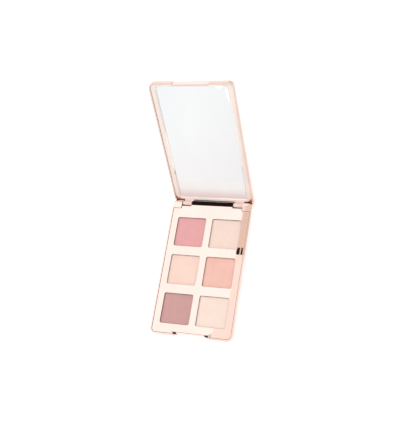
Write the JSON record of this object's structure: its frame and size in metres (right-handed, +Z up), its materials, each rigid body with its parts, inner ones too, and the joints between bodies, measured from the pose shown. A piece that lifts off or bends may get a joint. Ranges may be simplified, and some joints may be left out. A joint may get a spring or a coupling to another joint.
{
  "type": "eyeshadow palette",
  "caption": "Slim hinged makeup palette with square pressed powder pans in a framed base and a full-length mirror in the flip-up lid.",
  "frame": {"origin": "middle of the base's flat underside", "axes": "+X across the case, +Y towards the hinge, +Z up out of the powders; the lid is stored open"},
  "size_m": [0.0652, 0.1669, 0.0931],
  "materials": {
    "rose_gold_shell": "polished metallised rose gold",
    "cream_insert": "glossy cream peach",
    "black_tray": "matte",
    "pan_metal": "pressed sheet",
    "powder_back_left": "pressed matte powder, rose pink",
    "powder_back_right": "pressed shimmer powder, pale pink beige",
    "powder_middle_left": "pressed satin powder, light peach",
    "powder_middle_right": "pressed satin powder, coral peach",
    "powder_front_left": "pressed matte powder, mauve",
    "powder_front_right": "pressed satin powder, palest peach",
    "glue": "translucent glue",
    "pin_steel": "drawn wire",
    "mirror_glass": "silvered glass",
    "tape": "double-sided tape"
  },
  "bodies": {
    "base": {"base_shell": "rose_gold_shell", "pan_tray": "black_tray", "deck_plate": "cream_insert", "pan_back_left": "pan_metal", "pan_back_right": "pan_metal", "pan_middle_left": "pan_metal", "pan_middle_right": "pan_metal", "pan_front_left": "pan_metal", "pan_front_right": "pan_metal", "powder_back_left": "powder_back_left", "powder_back_right": "powder_back_right", "powder_middle_left": "powder_middle_left", "powder_middle_right": "powder_middle_right", "powder_front_left": "powder_front_left", "powder_front_right": "powder_front_right", "pan_glue_back_left": "glue", "pan_glue_back_right": "glue", "pan_glue_middle_left": "glue", "pan_glue_middle_right": "glue", "pan_glue_front_left": "glue", "pan_glue_front_right": "glue", "hinge_pin_left": "pin_steel", "hinge_pin_right": "pin_steel"},
    "lid": {"lid_cover": "rose_gold_shell", "lid_frame": "cream_insert", "mirror": "mirror_glass", "mirror_tape": "tape"}
  },
  "joints": [
    {"name": "lid_hinge", "type": "hinge", "parent": "base", "child": "lid", "pos_m": [0, 0.0512, 0.005], "axis": [-1, 0, 0], "range_deg": [-122, 0]}
  ]
}
